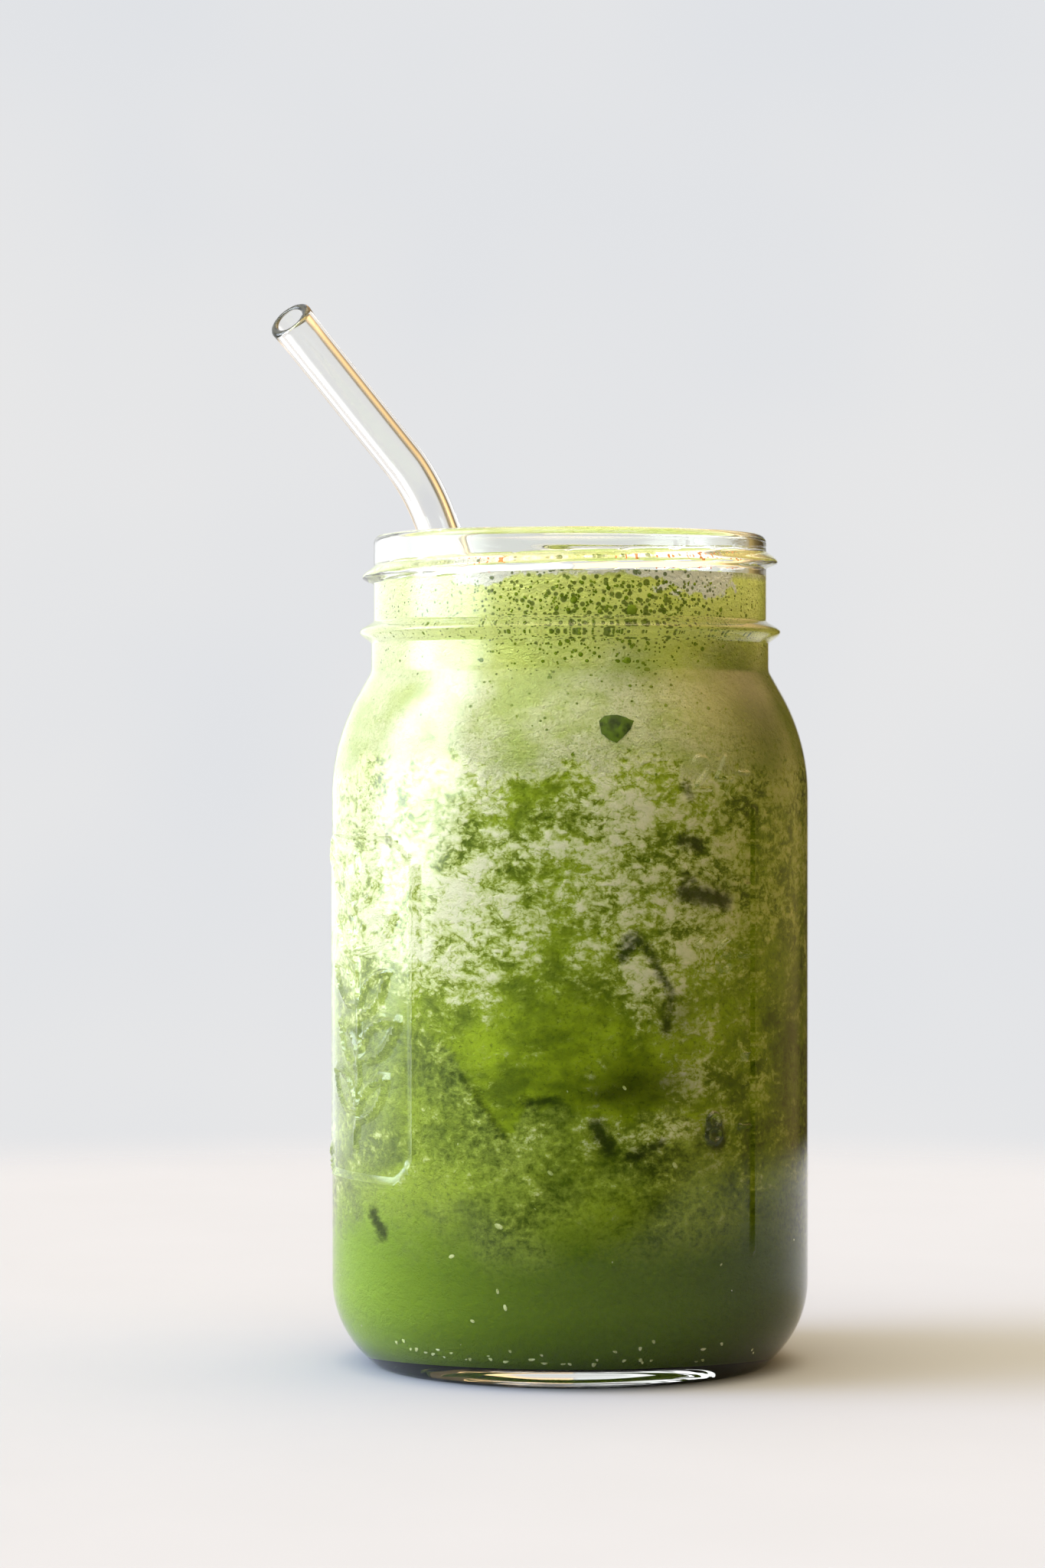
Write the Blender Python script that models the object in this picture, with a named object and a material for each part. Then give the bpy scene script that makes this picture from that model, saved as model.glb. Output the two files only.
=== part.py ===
"""A one-quart wide-mouth canning jar of frothy green juice with a bent glass straw.

Metres, +Z up. The jar stands on z = 0, and the origin is under the middle of the whole
thing's bounding box. As the straw sticks out on one side, the jar's axis is a few
millimetres off it: everything is modelled round the jar's axis and then moved together.
The jar is a turned glass shell with a screw thread. The drink fills it to just under the
thread in three layers that run right through it: a froth head, marbled pulpy juice, and the
clearer juice that has settled. The straw leans from the floor to the rim, and holds a column
of the settled juice up to the same level.
"""

import math

import bmesh
import bpy
from mathutils import Matrix, Vector

MM = 0.001
SIDES = 48
TOUCH_GAP = 0.3 * MM

# Jar, outside
BODY_RADIUS = 48.75 * MM
FOOT_RADIUS = 40.1 * MM
PUNT_RADIUS = 34.5 * MM
PUNT_HEIGHT = 3.0 * MM
HEEL_HEIGHT = 17.0 * MM
SHOULDER_START = 116.0 * MM
SHOULDER_ARC = 42.0 * MM
SHOULDER_SLOPE = math.radians(29.5)
SHOULDER_FILLET = 3.0 * MM
NECK_RADIUS = 40.7 * MM
BEAD_BOTTOM = 146.9 * MM
BEAD_TOP = 151.5 * MM
BEAD_RADIUS = 43.1 * MM
FINISH_RADIUS = 40.2 * MM
RIM_HEIGHT = 169.1 * MM

# Jar, inside
MOUTH_RADIUS = 36.8 * MM
BODY_WALL = 2.85 * MM
NECK_INSIDE_FILLET = 8.0 * MM
FLOOR_HEIGHT = 5.2 * MM
FLOOR_CROWN = 2.2 * MM
INNER_HEEL = 10.0 * MM

# Screw thread, a right-hand ridge of one start
THREAD_PITCH = 6.35 * MM
THREAD_RADIUS = 42.6 * MM
THREAD_FRONT_HEIGHT = 161.9 * MM
THREAD_TURN = math.radians(400)
THREAD_FADE = math.radians(28)
THREAD_UPPER_FLANK = 2.2 * MM
THREAD_LOWER_FLANK = 1.1 * MM
THREAD_SECTIONS = 66

# Drink
JUICE_LEVEL = 160.0 * MM
FROTH_BASE = 119.0 * MM
SETTLED_TOP = 24.0 * MM
MENISCUS = 0.7 * MM
WAVE_ROOM = 8.0 * MM

# Straw
STRAW_RADIUS = 4.5 * MM
STRAW_BORE = 3.0 * MM
STRAW_SIDES = 20
BEND_POINT = Vector((-30.7, 20.2, 180.6)) * MM
BEND_RADIUS = 18.0 * MM
FOOT_POINT = Vector((32.8, -9.07, 7.7)) * MM
TIP_POINT = Vector((-57.2, -7.0, 212.8)) * MM
TO_FOOT = (FOOT_POINT - BEND_POINT).normalized()
TO_TIP = (TIP_POINT - BEND_POINT).normalized()


def clear_scene():
    for obj in list(bpy.data.objects):
        bpy.data.objects.remove(obj)


def glass(name, colour):
    """Clear glass, tinted a little by its base colour."""
    material = bpy.data.materials.new(name)
    material.use_nodes = True
    shader = material.node_tree.nodes["Principled BSDF"]
    shader.inputs["Base Color"].default_value = (*colour, 1)
    shader.inputs["Roughness"].default_value = 0.03
    shader.inputs["Transmission Weight"].default_value = 1
    shader.inputs["IOR"].default_value = 1.5
    return material


def drink(name, colour, roughness):
    material = bpy.data.materials.new(name)
    material.use_nodes = True
    shader = material.node_tree.nodes["Principled BSDF"]
    shader.inputs["Base Color"].default_value = (*colour, 1)
    shader.inputs["Roughness"].default_value = roughness
    return material


def arc(centre, radius, start, end, steps):
    """Points (radius, height) of an arc, from angle start to end, both ends included."""
    turned = [start + (end - start) * k / steps for k in range(steps + 1)]
    return [(centre[0] + radius * math.cos(a), centre[1] + radius * math.sin(a)) for a in turned]


def ring(radius, height, sides=SIDES):
    """A level circle of points round the jar's axis."""
    around = [2 * math.pi * k / sides for k in range(sides)]
    return [Vector((radius * math.cos(a), radius * math.sin(a), height)) for a in around]


def facets(corners):
    """A triangle as it is, or a quad's two halves, split along its shorter diagonal.

    So two layers that share a bent face are split alike, and don't cross."""
    if len(corners) == 3:
        return [corners]
    a, b, c, d = corners
    if (a.co - c.co).length < (b.co - d.co).length:
        return [(a, b, c), (a, c, d)]
    return [(a, b, d), (b, c, d)]


def skin(name, rings, looped=False):
    """A closed object whose faces join each ring of points to the next.

    A ring of one point closes the shape with a fan of triangles. A looped shape also joins
    its last ring to its first."""
    mesh = bpy.data.meshes.new(name)
    shape = bmesh.new()
    placed = [[shape.verts.new(point) for point in points] for points in rings]
    pairs = list(zip(placed, placed[1:]))
    if looped:
        pairs.append((placed[-1], placed[0]))
    for lower, upper in pairs:
        sides = max(len(lower), len(upper))
        for k in range(sides):
            after = (k + 1) % sides
            corners = [lower[k % len(lower)], lower[after % len(lower)]]
            corners += [upper[after % len(upper)], upper[k % len(upper)]]
            for facet in facets(list(dict.fromkeys(corners))):
                shape.faces.new(facet)
    for end in (placed[0], placed[-1]):
        if not looped and len(end) > 1:
            shape.faces.new(end)
    bmesh.ops.recalc_face_normals(shape, faces=shape.faces)
    shape.to_mesh(mesh)
    shape.free()
    obj = bpy.data.objects.new(name, mesh)
    bpy.context.scene.collection.objects.link(obj)
    return obj


def helper(obj):
    """Marks an object that only cuts or joins others."""
    obj.hide_render = True
    obj.display_type = "WIRE"
    return obj


def boolean(obj, operation, other):
    modifier = obj.modifiers.new(operation.title(), "BOOLEAN")
    modifier.operation = operation
    modifier.object = other


def finish(obj, material):
    obj.data.materials.append(material)
    obj.data.shade_smooth()
    obj.data.set_sharp_from_angle(angle=math.radians(35))
    return obj


def outer_profile():
    """(radius, height) points up the outside of the jar, from its foot ring to its rim."""
    drop = BODY_RADIUS - FOOT_RADIUS
    heel = (HEEL_HEIGHT**2 + drop**2) / (2 * drop)
    foot_angle = -math.asin(HEEL_HEIGHT / heel)
    points = arc((BODY_RADIUS - heel, HEEL_HEIGHT), heel, foot_angle, 0, 8)

    centre = (BODY_RADIUS - SHOULDER_ARC, SHOULDER_START)
    shoulder = arc(centre, SHOULDER_ARC, 0, SHOULDER_SLOPE, 6)
    fillet_radius = NECK_RADIUS + SHOULDER_FILLET
    fillet_start = fillet_radius - SHOULDER_FILLET * math.cos(SHOULDER_SLOPE)
    run = (shoulder[-1][0] - fillet_start) / math.tan(SHOULDER_SLOPE)
    fillet_height = shoulder[-1][1] + run + SHOULDER_FILLET * math.sin(SHOULDER_SLOPE)
    slope_end = math.pi + SHOULDER_SLOPE
    points += shoulder
    points += arc((fillet_radius, fillet_height), SHOULDER_FILLET, slope_end, math.pi, 2)

    bead_height = (BEAD_BOTTOM + BEAD_TOP) / 2
    bead_half = (BEAD_TOP - BEAD_BOTTOM) / 2
    for k in range(7):
        across = -math.pi / 2 + math.pi * k / 6
        root = NECK_RADIUS if k < 3 else FINISH_RADIUS
        reach = root + (BEAD_RADIUS - root) * math.cos(across) ** 1.4
        points.append((reach, bead_height + bead_half * math.sin(across)))

    lip = (FINISH_RADIUS - MOUTH_RADIUS) / 2
    points += arc((MOUTH_RADIUS + lip, RIM_HEIGHT - lip), lip, 0, math.pi / 2, 3)
    return points


def inner_profile():
    """(radius, height) points down the inside of the jar, from its rim to its floor."""
    lip = (FINISH_RADIUS - MOUTH_RADIUS) / 2
    points = arc((MOUTH_RADIUS + lip, RIM_HEIGHT - lip), lip, math.pi / 2, math.pi, 3)[1:]

    inside = BODY_RADIUS - BODY_WALL
    bend = SHOULDER_ARC - BODY_WALL
    centre = (inside - bend, SHOULDER_START)
    shoulder = arc(centre, bend, SHOULDER_SLOPE, 0, 5)
    fillet_radius = MOUTH_RADIUS + NECK_INSIDE_FILLET
    fillet_start = fillet_radius - NECK_INSIDE_FILLET * math.cos(SHOULDER_SLOPE)
    run = (shoulder[0][0] - fillet_start) / math.tan(SHOULDER_SLOPE)
    fillet_height = shoulder[0][1] + run + NECK_INSIDE_FILLET * math.sin(SHOULDER_SLOPE)
    slope_end = math.pi + SHOULDER_SLOPE
    points += arc((fillet_radius, fillet_height), NECK_INSIDE_FILLET, math.pi, slope_end, 3)
    points += shoulder

    heel_centre = (inside - INNER_HEEL, FLOOR_HEIGHT + INNER_HEEL)
    points += arc(heel_centre, INNER_HEEL, 0, -math.pi / 2, 7)
    return points


def inner_radius(height):
    """The jar's inside radius at a height, read along its profile."""
    profile = inner_profile()
    for (upper_radius, upper), (lower_radius, lower) in zip(profile, profile[1:]):
        if lower <= height <= upper and upper > lower:
            share = (height - lower) / (upper - lower)
            return lower_radius + (upper_radius - lower_radius) * share
    return profile[-1][0]


def floor_height(radius):
    """The jar's floor, a little crowned in the middle."""
    flat = inner_profile()[-1][0]
    return FLOOR_HEIGHT + FLOOR_CROWN * (1 - min(radius / flat, 1) ** 2)


def make_jar(material):
    """The turned glass shell, its lip rolled over, with the screw thread joined on."""
    punt_rings = 4
    punt = [PUNT_RADIUS * (k + 1) / punt_rings for k in range(punt_rings)]
    floor = [inner_profile()[-1][0] * (3 - k) / 4 for k in range(3)]

    rings = [[Vector((0, 0, PUNT_HEIGHT))]]
    rings += [ring(r, PUNT_HEIGHT * (1 - (r / PUNT_RADIUS) ** 2)) for r in punt]
    rings += [ring(r, z) for r, z in outer_profile()]
    rings += [ring(r, z) for r, z in inner_profile()]
    rings += [ring(r, floor_height(r)) for r in floor]
    rings += [[Vector((0, 0, floor_height(0)))]]
    jar = skin("jar", rings)
    boolean(jar, "UNION", make_thread())
    return finish(jar, material)


def make_thread():
    """A ridge that climbs to the right across the front, and fades out at both ends."""
    sections = []
    for k in range(THREAD_SECTIONS + 1):
        turn = THREAD_TURN * (k / THREAD_SECTIONS - 0.5)
        around = -math.pi / 2 + turn
        height = THREAD_FRONT_HEIGHT + THREAD_PITCH * turn / (2 * math.pi)
        to_end = min(THREAD_TURN / 2 - abs(turn), THREAD_FADE) / THREAD_FADE
        fade = math.sin(to_end * math.pi / 2)
        root = FINISH_RADIUS - 0.8 * MM
        crest = FINISH_RADIUS - 0.15 * MM + (THREAD_RADIUS - FINISH_RADIUS + 0.15 * MM) * fade
        width = 0.45 + 0.55 * fade
        outline = [
            (root, THREAD_UPPER_FLANK * width),
            (crest - 0.35 * (crest - root), THREAD_UPPER_FLANK * 0.5 * width),
            (crest, THREAD_UPPER_FLANK * 0.1 * width),
            (crest, -THREAD_LOWER_FLANK * 0.3 * width),
            (root, -THREAD_LOWER_FLANK * width),
        ]
        out = Vector((math.cos(around), math.sin(around), 0))
        sections.append([out * r + Vector((0, 0, height + z)) for r, z in outline])
    return helper(skin("thread_guide", sections))


def ripple(x, y, waves):
    """A smooth uneven height, the sum of waves (size, waves across the jar, heading, start)."""
    total = 0
    for size, across, heading, start in waves:
        way = x * math.cos(heading) + y * math.sin(heading)
        total += size * math.sin(math.pi * across * way / BODY_RADIUS + start)
    return total


def froth_top(x, y):
    """The froth's top: low mounds, and a meniscus where it meets the glass."""
    waves = [(0.35 * MM, 1.7, 0.4, 0.2), (0.3 * MM, 2.6, 2.1, 1.3), (0.2 * MM, 4.1, 1.2, 0.5)]
    climb = (math.hypot(x, y) / MOUTH_RADIUS) ** 8
    return JUICE_LEVEL + ripple(x, y, waves) * (1 - climb) + MENISCUS * climb


def froth_base(x, y):
    waves = [(3.2 * MM, 0.8, 0.5, 0.9), (1.8 * MM, 1.9, 2.3, 0.3), (0.8 * MM, 3.4, 1.1, 2.0)]
    return FROTH_BASE + ripple(x, y, waves)


def settled_top(x, y):
    waves = [(1.4 * MM, 0.9, 2.6, 0.4), (0.8 * MM, 2.2, 1.0, 1.7)]
    return SETTLED_TOP + ripple(x, y, waves)


def surface_rings(height_at, rim_radius_at, lift, steps, inwards):
    """Rings of a layer's top or bottom face, between its middle and the jar's wall."""
    rings = []
    for k in range(1, steps + 1):
        points = []
        for side in range(SIDES):
            around = 2 * math.pi * side / SIDES
            way = Vector((math.cos(around), math.sin(around), 0))
            edge = height_at(*(way * rim_radius_at(height_at(0, 0))).xy)
            radius = rim_radius_at(edge) * k / steps
            spot = way * radius
            share = (k / steps) ** 3
            height = height_at(spot.x, spot.y) * (1 - share) + edge * share + lift
            points.append(Vector((spot.x, spot.y, height)))
        rings.append(points)
    middle = [Vector((0, 0, height_at(0, 0) + lift))]
    return rings[::-1] + [middle] if inwards else [middle] + rings


def wall_rings(low, high):
    """Level rings that follow the jar's wall, one at each point of its profile."""
    between = sorted(z for _, z in inner_profile() if low < z < high)
    heights = [z for n, z in enumerate(between) if n == 0 or z - between[n - 1] > 0.1 * MM]
    return [ring(juice_radius(z), z) for z in heights]


def juice_radius(height):
    return inner_radius(height) - TOUCH_GAP


def straw_line(short, steps=6):
    """Points and headings along the straw's middle, from its foot, round the bend, to its tip.

    Both ends stop short by the given length."""
    half_bend = TO_TIP.angle(-TO_FOOT) / 2
    inward = (TO_FOOT + TO_TIP).normalized()
    centre = BEND_POINT + inward * (BEND_RADIUS / math.cos(half_bend))
    start = BEND_POINT + TO_FOOT * BEND_RADIUS * math.tan(half_bend)
    axis = TO_FOOT.cross(TO_TIP).normalized()
    line = [(FOOT_POINT - TO_FOOT * short, -TO_FOOT)]
    for k in range(steps + 1):
        turn = Matrix.Rotation(-2 * half_bend * k / steps, 3, axis)
        line.append((centre + turn @ (start - centre), turn @ -TO_FOOT))
    line.append((TIP_POINT - TO_TIP * short, TO_TIP))
    return line


def tube_ring(point, heading, radius):
    """A circle of points across the straw."""
    side = TO_FOOT.cross(TO_TIP).normalized()
    other = heading.cross(side).normalized()
    around = [2 * math.pi * k / STRAW_SIDES for k in range(STRAW_SIDES)]
    return [point + radius * (side * math.cos(a) + other * math.sin(a)) for a in around]


def rounded_end(point, out, angles):
    """Rings round the wall's end, whose edge is half a circle: the angles in degrees go
    from the outer wall, past the very end, to the bore."""
    lip = (STRAW_RADIUS - STRAW_BORE) / 2
    turns = [math.radians(angle) for angle in angles]
    middle = STRAW_BORE + lip
    return [tube_ring(point + out * lip * math.sin(a), out, middle + lip * math.cos(a)) for a in turns]


def make_straw(material):
    """A bent glass tube, its two ends rounded by fire polishing."""
    line = straw_line((STRAW_RADIUS - STRAW_BORE) / 2)
    (foot, up), (tip, out) = line[0], line[-1]
    rings = [tube_ring(point, way, STRAW_RADIUS) for point, way in line]
    rings += rounded_end(tip, out, (45, 90, 135))
    rings += [tube_ring(point, way, STRAW_BORE) for point, way in reversed(line)]
    rings += rounded_end(foot, up, (-135, -90, -45))
    return finish(skin("straw", rings, looped=True), material)


def make_straw_hole():
    """A rod as long as the straw's straight lower part, which makes room for it."""
    low = FOOT_POINT + TO_FOOT * TOUCH_GAP
    high = BEND_POINT + TO_FOOT * BEND_RADIUS
    rod = [tube_ring(end, -TO_FOOT, STRAW_RADIUS + TOUCH_GAP) for end in (low, high)]
    return helper(skin("straw_hole", rod))


def make_straw_column():
    """The juice that stands in the straw, from just below its foot up to a level top."""
    below = FOOT_POINT + TO_FOOT * 2 * TOUCH_GAP
    foot = tube_ring(below, -TO_FOOT, STRAW_BORE - TOUCH_GAP)
    level = [point + TO_FOOT * (JUICE_LEVEL - point.z) / TO_FOOT.z for point in foot]
    return helper(skin("straw_column", [foot, level]))


def make_settled_juice(straw_hole, material):
    """The clear green juice on the jar's floor, with the column that it sends up the straw."""
    flat = inner_profile()[-1][0]
    rings = [[Vector((0, 0, floor_height(0) + TOUCH_GAP))]]
    rings += [ring(flat * k / 3, floor_height(flat * k / 3) + TOUCH_GAP) for k in (1, 2)]
    rings += [ring(flat, FLOOR_HEIGHT + TOUCH_GAP)]
    rings += wall_rings(FLOOR_HEIGHT + TOUCH_GAP, SETTLED_TOP - WAVE_ROOM / 2)
    rings += surface_rings(settled_top, juice_radius, -TOUCH_GAP / 2, 4, inwards=True)
    layer = skin("settled_juice", rings)
    boolean(layer, "DIFFERENCE", straw_hole)
    boolean(layer, "UNION", make_straw_column())
    return finish(layer, material)


def make_pulpy_juice(straw_hole, material):
    """The marbled middle of the drink, all through."""
    rings = surface_rings(settled_top, juice_radius, TOUCH_GAP / 2, 4, inwards=False)
    rings += [ring(juice_radius(z), z) for z in (SETTLED_TOP + WAVE_ROOM, FROTH_BASE - WAVE_ROOM)]
    rings += surface_rings(froth_base, juice_radius, -TOUCH_GAP / 2, 5, inwards=True)
    layer = skin("pulpy_juice", rings)
    boolean(layer, "DIFFERENCE", straw_hole)
    return finish(layer, material)


def make_froth(straw_hole, material):
    """The pale froth head, from the marbled juice up to the free top."""
    rings = surface_rings(froth_base, juice_radius, TOUCH_GAP / 2, 5, inwards=False)
    rings += wall_rings(FROTH_BASE + WAVE_ROOM, JUICE_LEVEL - WAVE_ROOM / 2)
    rings += surface_rings(froth_top, juice_radius, 0, 8, inwards=True)
    layer = skin("froth", rings)
    boolean(layer, "DIFFERENCE", straw_hole)
    return finish(layer, material)


def centre_on_origin():
    """Hangs everything on one empty, and moves it to bring the whole box over the origin.

    The box runs from the straw's tip, on the left, to the jar's side, on the right."""
    straw_reach = min(vertex.co.x for vertex in bpy.data.objects["straw"].data.vertices)
    jar_axis = bpy.data.objects.new("jar_axis", None)
    bpy.context.scene.collection.objects.link(jar_axis)
    for obj in bpy.data.objects:
        if obj != jar_axis:
            obj.parent = jar_axis
    jar_axis.location.x = -(straw_reach + BODY_RADIUS) / 2


def build():
    clear_scene()
    make_jar(glass("jar_glass", (0.95, 0.98, 0.95)))
    make_straw(glass("straw_glass", (0.98, 0.98, 0.97)))
    hole = make_straw_hole()
    make_settled_juice(hole, drink("settled_green", (0.08, 0.13, 0.015), 0.3))
    make_pulpy_juice(hole, drink("pulpy_green", (0.20, 0.27, 0.035), 0.5))
    make_froth(hole, drink("froth_green", (0.45, 0.52, 0.17), 0.7))
    centre_on_origin()


build()
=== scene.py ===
"""Green juice in a canning jar: thick clear glass, a bent glass straw, froth, curdled pulp
and settled juice, on a pale floor by a window.

Lengths are millimetres in the shapes, and become metres when a mesh is made. Heights are
above the floor, bearings are degrees round the jar's axis: 0 faces the camera (-Y), -90 is
the camera's left (-X) and 90 its right.
"""

import math

import bpy
import numpy as np
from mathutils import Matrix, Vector


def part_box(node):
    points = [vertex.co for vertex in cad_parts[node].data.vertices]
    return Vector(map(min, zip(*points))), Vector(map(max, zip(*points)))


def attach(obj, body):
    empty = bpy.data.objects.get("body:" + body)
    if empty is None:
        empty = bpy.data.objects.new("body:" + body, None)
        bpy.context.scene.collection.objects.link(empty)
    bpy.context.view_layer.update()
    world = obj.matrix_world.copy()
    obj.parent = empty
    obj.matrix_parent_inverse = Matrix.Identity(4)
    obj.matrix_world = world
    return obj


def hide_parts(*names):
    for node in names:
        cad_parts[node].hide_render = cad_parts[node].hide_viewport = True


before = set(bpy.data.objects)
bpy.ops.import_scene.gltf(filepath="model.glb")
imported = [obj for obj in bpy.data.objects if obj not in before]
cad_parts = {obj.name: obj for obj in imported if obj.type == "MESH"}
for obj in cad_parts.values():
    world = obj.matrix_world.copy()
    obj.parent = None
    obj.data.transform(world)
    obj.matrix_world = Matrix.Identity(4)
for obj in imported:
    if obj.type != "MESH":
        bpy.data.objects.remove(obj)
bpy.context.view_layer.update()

MM = 0.001
JAR_LOW, JAR_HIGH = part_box("jar")
AXIS = np.array([(JAR_LOW[0] + JAR_HIGH[0]) / 2, (JAR_LOW[1] + JAR_HIGH[1]) / 2, 0.0]) / MM

# The jar's glass. The shoulder is an arc that ends in a straight slope up to the neck, and
# the punt is the hollow under the floor.
BODY_RADIUS = (JAR_HIGH[0] - JAR_LOW[0]) / 2 / MM
RIM_HEIGHT = JAR_HIGH[2] / MM
WALL = 2.85
HEEL_HEIGHT = 17.0
FOOT_RADIUS = 40.1
PUNT_RADIUS = 34.5
PUNT_HEIGHT = 3.0
SHOULDER_START = 116.0
SHOULDER_ARC = 42.0
SHOULDER_SLOPE = math.radians(29.5)
OUTER_FILLET = 3.0
INNER_FILLET = 8.0
NECK_RADIUS = 40.7
BEAD = (146.9, 151.5)
BEAD_RADIUS = 43.1
FINISH_RADIUS = 40.2
MOUTH_RADIUS = 36.8
FLOOR_HEIGHT = 5.2
FLOOR_CROWN = 2.2
INNER_HEEL = 10.0
FLAT_RADIUS = BODY_RADIUS - WALL - INNER_HEEL
LIP = (FINISH_RADIUS - MOUTH_RADIUS) / 2

# The screw thread: it is at its height at bearing 0, and runs this turn to each side of it
THREAD_PITCH = 6.35
THREAD_HEIGHT = 161.9
THREAD_TURN = 200.0
THREAD_FADE = 28.0
THREAD_DEPTH = 2.35
THREAD_FLANKS = (1.25, 2.3)

# The moulded marks and the mould's seams: bearings, and each ridge's half width and height
SCALE_BEARING = 35.5
SCALE_RIDGE = (0.66, 0.75)
SPRIG_BEARING = -62.0
SPRIG_RIDGE = (0.72, 0.60)
SEAM_BEARINGS = (4.3, -175.7)
SEAM_RIDGE = (0.6, 0.26)

# The jar's mesh: its columns and rows crowd at the marks, as crowded() says, and the punt has
# faint rings
JAR_COLUMNS = 227
COLUMN_SPOTS = [(SCALE_BEARING + 3, 10, 8.0), (SPRIG_BEARING, 25, 2.4), (-20, 60, 1.2)]
WALL_ROWS = 176
WALL_SPOTS = [(51, 4.5, 3.4), (85, 4.5, 3.4), (74, 36, 1.4)]
SHOULDER_ROWS = 56
SHOULDER_SPOTS = [(math.radians(6.5), math.radians(6.5), 3.0)]
RING_DEPTH = 0.13
RING_TURNS = 1.5

# The drink. Its layers reach a little into the glass wall, so that no air shows there, and
# stop a little above the glass floor, which then guides the light as the photo's does.
JUICE_LEVEL = 160.0
FROTH_BASE = 119.0
SETTLED_TOP = 24.0
INTO_WALL = 0.2
OVER_FLOOR = 0.12
MENISCUS = 0.7
LAYER_COLUMNS = 300

# The straw, from the middle of its foot round the bend to the middle of its tip
STRAW_RADIUS = 4.5
STRAW_BORE = 3.0
STRAW_LIP = (STRAW_RADIUS - STRAW_BORE) / 2
STRAW_FLARE = 0.22
FLARE_REACH = 1.4
STRAW_SIDES = 48
BEND_POINT = np.array([-30.7, 20.2, 180.6])
BEND_RADIUS = 18.0
FOOT_POINT = np.array([32.8, -9.07, 7.7])
TIP_POINT = np.array([-57.2, -7.0, 212.8])

# The camera, with the photograph's frame in pixels
FRAME_SIZE = (1365, 2048)
LENS = 100.0
LONG_SIDE = 36.0
CAMERA_PLACE = np.array([-9.75, -893.0, 125.4])
HORIZON_ROW = 978

# The table top: it fades out between these distances from the axis, and towards the camera
# between these values of y
TABLE_RADIUS = 600
TABLE_DROP = 0.05
TABLE_FADE = (385, 560)
TABLE_FRONT = (-330, -245)


# Numbers and points on grids

def smooth(low, high, value):
    """0 below low, 1 above high, and 3t^2 - 2t^3 between them."""
    t = np.clip((value - low) / (high - low), 0, 1)
    return t * t * (3 - 2 * t)


def hump(value, centre, width):
    """1 at the centre, fading as a bell curve of that half width."""
    return np.exp(-(((value - centre) / width) ** 2))


def crowded(low, high, count, spots):
    """Values from low to high, closer together near spots (centre, reach, times closer).

    They are spread evenly under a weight of 1 plus a flat-topped hump at each spot."""
    fine = np.linspace(low, high, 6001)
    weight = np.ones_like(fine)
    for centre, reach, closer in spots:
        weight += (closer - 1) * np.exp(-(((fine - centre) / reach) ** 8))
    total = np.concatenate([[0], np.cumsum((weight[1:] + weight[:-1]) / 2)])
    return np.interp(np.linspace(0, total[-1], count), total, fine)


def turned(centre, radius, turn):
    """Points (radius, height) on a circle: centre plus radius times cosine and sine."""
    return np.stack([centre[0] + radius * np.cos(turn), centre[1] + radius * np.sin(turn)], 1)


def arc(centre, radius, start, end, count):
    """Points at even steps along part of such a circle."""
    return turned(centre, radius, np.linspace(start, end, count))


def unit(way):
    """A direction, or each of several, at length 1."""
    return way / np.linalg.norm(way, axis=-1, keepdims=True)


def noise(points, size, seed, octaves):
    """Smooth random values, about -1 to 1: each octave sums eight sine waves of one length
    and random headings, and has half the length and half the strength of the last."""
    draw = np.random.default_rng(seed)
    total = np.zeros(points.shape[:-1])
    for octave in range(octaves):
        headings = unit(draw.normal(size=(8, 3)))
        starts = draw.uniform(0, 2 * np.pi, 8)
        waves = points @ (headings.T * 2 * np.pi * 2**octave / size) + starts
        total += np.sin(waves).sum(-1) * 0.35 / 2**octave
    return total


def round_axis(bearing, radius, height):
    """Points round the jar's axis: x = r sin b, y = -r cos b, z, with the axis added."""
    turn = np.radians(bearing)
    parts = [radius * np.sin(turn), -radius * np.cos(turn), height]
    return np.stack(np.broadcast_arrays(*parts), -1) + AXIS


def make_mesh(name, points, faces, material, smooth_angle=40):
    """A mesh object from points in millimetres and lists of corner numbers."""
    mesh = bpy.data.meshes.new(name)
    mesh.from_pydata((points * MM).tolist(), [], faces)
    mesh.materials.append(material)
    mesh.shade_smooth()
    mesh.set_sharp_from_angle(angle=math.radians(smooth_angle))
    piece = bpy.data.objects.new(name, mesh)
    bpy.context.scene.collection.objects.link(piece)
    return piece


def grid_faces(rows, columns, looped=False):
    """Corner numbers of the quads of a grid whose columns run round. A looped grid's last
    row also joins its first."""
    row = np.arange(rows if looped else rows - 1)[:, None]
    column = np.arange(columns)
    after = (column + 1) % columns
    low, high = row * columns, (row + 1) % rows * columns
    corners = [low + column, low + after, high + after, high + column]
    return np.stack(np.broadcast_arrays(*corners), -1).reshape(-1, 4)


def cap_faces(rows, columns):
    """Corner numbers of two fans, from a grid's end rows onto the two points after it."""
    here = np.arange(columns)
    after = (here + 1) % columns
    top, pole = (rows - 1) * columns, np.full(columns, rows * columns)
    fans = [[after, here, pole], [top + here, top + after, pole + 1]]
    return np.concatenate([np.stack(fan, 1) for fan in fans])


def closed_grid(name, grid, material, looped=False, smooth_angle=40):
    """A closed surface over a grid of points (row, column, xyz), whose columns run round.

    Unless it is looped, a fan closes each end onto the middle of its row."""
    rows, columns = grid.shape[:2]
    points = grid.reshape(-1, 3)
    faces = grid_faces(rows, columns, looped).tolist()
    if not looped:
        faces += cap_faces(rows, columns).tolist()
        points = np.concatenate([points, [grid[0].mean(0)], [grid[-1].mean(0)]])
    return make_mesh(name, points, faces, material, smooth_angle)


def add_attribute(piece, name, values):
    """One number for each point. The two pole points, if any, take their end row's mean."""
    short = len(piece.data.vertices) - values.size
    flat = values.reshape(-1)
    if short:
        flat = np.concatenate([flat, [values[0].mean()], [values[-1].mean()]])
    layer = piece.data.attributes.new(name, "FLOAT", "POINT")
    layer.data.foreach_set("value", flat.astype(np.float32))


# Materials

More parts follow.
